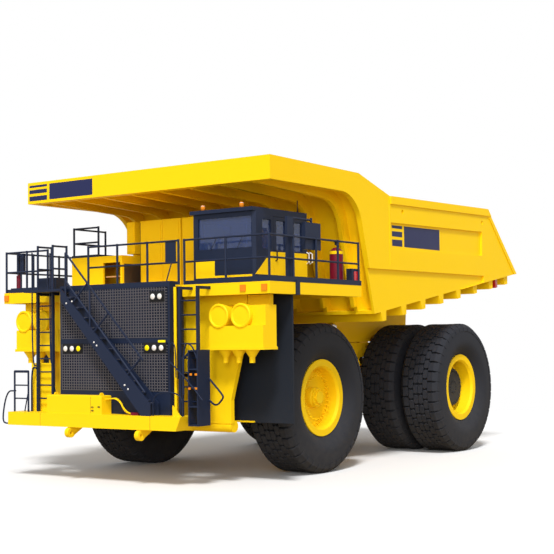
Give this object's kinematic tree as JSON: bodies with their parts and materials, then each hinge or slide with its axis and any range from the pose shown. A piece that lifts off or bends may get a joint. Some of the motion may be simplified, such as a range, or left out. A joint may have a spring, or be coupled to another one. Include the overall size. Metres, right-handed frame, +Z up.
{
  "type": "mining dump truck",
  "caption": "Rigid-frame mining dump truck with a tipping body and canopy, deck-top cab, front stair and grille, steered front wheels and twin rear wheels.",
  "frame": {"origin": "on the ground under the middle of the truck's overall length and width", "axes": "+X forward, +Y to the driver's left, +Z up"},
  "size_m": [13.5698, 7.824, 6.934],
  "materials": {
    "yellow_paint": "gloss yellow paint",
    "navy_paint": "satin navy black paint",
    "dark_steel": "dark cast metal",
    "red_paint": "gloss red paint",
    "chrome": "polished cylinder rod",
    "tyre": "matte tyre rubber",
    "rubber": "dull rubber panel",
    "glass": "tinted window glass",
    "lamp_lens": "clear lamp lens",
    "red_lens": "red lamp lens",
    "trim": "dark cab trim",
    "seat_cloth": "grey woven seat cloth"
  },
  "bodies": {
    "chassis": {"frame": "yellow_paint", "front_uprights": "yellow_paint", "front_bumper": "yellow_paint", "tow_lugs": "yellow_paint", "grille": "navy_paint", "radiator_core": "dark_steel", "engine_block": "dark_steel", "lamps": "lamp_lens", "deck": "yellow_paint", "deck_rails": "navy_paint", "ladders": "navy_paint", "stair": "navy_paint", "battery_box": "yellow_paint", "air_cleaners": "yellow_paint", "mud_panels": "rubber", "control_cabinet": "yellow_paint", "retarder_box": "yellow_paint", "fire_bottles": "red_paint", "mirrors": "navy_paint", "cab_floor": "navy_paint", "cab_front": "navy_paint", "cab_sides": "navy_paint", "cab_rear": "navy_paint", "cab_roof": "navy_paint", "cab_glass": "glass", "cab_interior": "trim", "cab_seat": "seat_cloth", "deck_lockers": "navy_paint", "retarder_guard": "navy_paint", "side_tanks": "yellow_paint", "front_struts": "yellow_paint", "rear_axle_housing": "yellow_paint", "rear_struts": "dark_steel", "steer_brackets": "yellow_paint", "steer_barrels": "yellow_paint"},
    "bed": {"bed_floor": "yellow_paint", "bed_sides": "yellow_paint", "bed_front_wall": "yellow_paint", "bed_canopy": "yellow_paint", "tail_lamps": "red_lens"},
    "hoist_barrels": {"hoist_barrels": "yellow_paint"},
    "hoist_stages": {"hoist_stages": "chrome"},
    "hoist_rods": {"hoist_rods": "chrome"},
    "knuckle_left": {"knuckle_left": "yellow_paint"},
    "knuckle_right": {"knuckle_right": "yellow_paint"},
    "tie_rod": {"tie_rod": "dark_steel"},
    "steer_rod_left": {"steer_rod_left": "chrome"},
    "steer_rod_right": {"steer_rod_right": "chrome"},
    "wheel_front_left": {"front_rim_left": "yellow_paint", "front_tyre_left": "tyre"},
    "wheel_front_right": {"front_rim_right": "yellow_paint", "front_tyre_right": "tyre"},
    "wheel_rear_left": {"rear_rim_left": "yellow_paint", "rear_tyres_left": "tyre"},
    "wheel_rear_right": {"rear_rim_right": "yellow_paint", "rear_tyres_right": "tyre"},
    "cab_door": {"cab_door": "navy_paint", "door_glass": "glass"}
  },
  "joints": [
    {"name": "bed_tip", "type": "hinge", "parent": "chassis", "child": "bed", "pos_m": [-4.985, 0, 3.29], "axis": [0, -1, 0], "range_deg": [0, 45]},
    {"name": "hoist_swing", "type": "hinge", "parent": "chassis", "child": "hoist_barrels", "pos_m": [-1.185, 0, 1.5], "axis": [0, -1, 0], "range_deg": [-1, 23]},
    {"name": "hoist_stage_slide", "type": "slide", "parent": "hoist_barrels", "child": "hoist_stages", "axis": [0.1441, 0, 0.9896], "range_m": [0, 1.47]},
    {"name": "hoist_rod_slide", "type": "slide", "parent": "hoist_stages", "child": "hoist_rods", "axis": [0.1441, 0, 0.9896], "range_m": [0, 1.47]},
    {"name": "steering", "type": "hinge", "parent": "chassis", "child": "knuckle_left", "pos_m": [2.465, 1.45, 1.7147], "axis": [0, 0, 1], "range_deg": [-30, 30]},
    {"name": "steering_right", "type": "hinge", "parent": "chassis", "child": "knuckle_right", "pos_m": [2.465, -1.45, 1.7147], "axis": [0, 0, 1], "range_deg": [-30, 30]},
    {"name": "tie_rod_pivot", "type": "hinge", "parent": "knuckle_left", "child": "tie_rod", "pos_m": [1.845, 1.45, 1.225], "axis": [0, 0, 1], "range_deg": [-30, 30]},
    {"name": "steer_rod_left_slide", "type": "slide", "parent": "chassis", "child": "steer_rod_left", "axis": [1, 0, 0], "range_m": [-0.21, 0.21]},
    {"name": "steer_rod_right_slide", "type": "slide", "parent": "chassis", "child": "steer_rod_right", "axis": [1, 0, 0], "range_m": [-0.21, 0.21]},
    {"name": "wheel_front_left_roll", "type": "hinge", "parent": "knuckle_left", "child": "wheel_front_left", "pos_m": [2.465, 2.48, 1.7147], "axis": [0, 1, 0], "continuous": true},
    {"name": "wheel_front_right_roll", "type": "hinge", "parent": "knuckle_right", "child": "wheel_front_right", "pos_m": [2.465, -2.48, 1.7147], "axis": [0, 1, 0], "continuous": true},
    {"name": "wheel_rear_left_roll", "type": "hinge", "parent": "chassis", "child": "wheel_rear_left", "pos_m": [-3.885, 2.82, 1.7147], "axis": [0, 1, 0], "continuous": true},
    {"name": "wheel_rear_right_roll", "type": "hinge", "parent": "chassis", "child": "wheel_rear_right", "pos_m": [-3.885, -2.82, 1.7147], "axis": [0, 1, 0], "continuous": true},
    {"name": "cab_door_swing", "type": "hinge", "parent": "chassis", "child": "cab_door", "pos_m": [4.095, 3.146, 5], "axis": [0, 0, 1], "range_deg": [0, 80]}
  ],
  "couplings": [
    {"joint": "hoist_swing", "follows": "bed_tip", "ratio": 0.4644},
    {"joint": "hoist_stage_slide", "follows": "bed_tip", "m_per_rad": 1.8583},
    {"joint": "hoist_rod_slide", "follows": "bed_tip", "m_per_rad": 1.8583},
    {"joint": "steering_right", "follows": "steering", "ratio": 1},
    {"joint": "tie_rod_pivot", "follows": "steering", "ratio": -1},
    {"joint": "steer_rod_left_slide", "follows": "steering", "m_per_rad": 0.382},
    {"joint": "steer_rod_right_slide", "follows": "steering", "m_per_rad": -0.382}
  ]
}
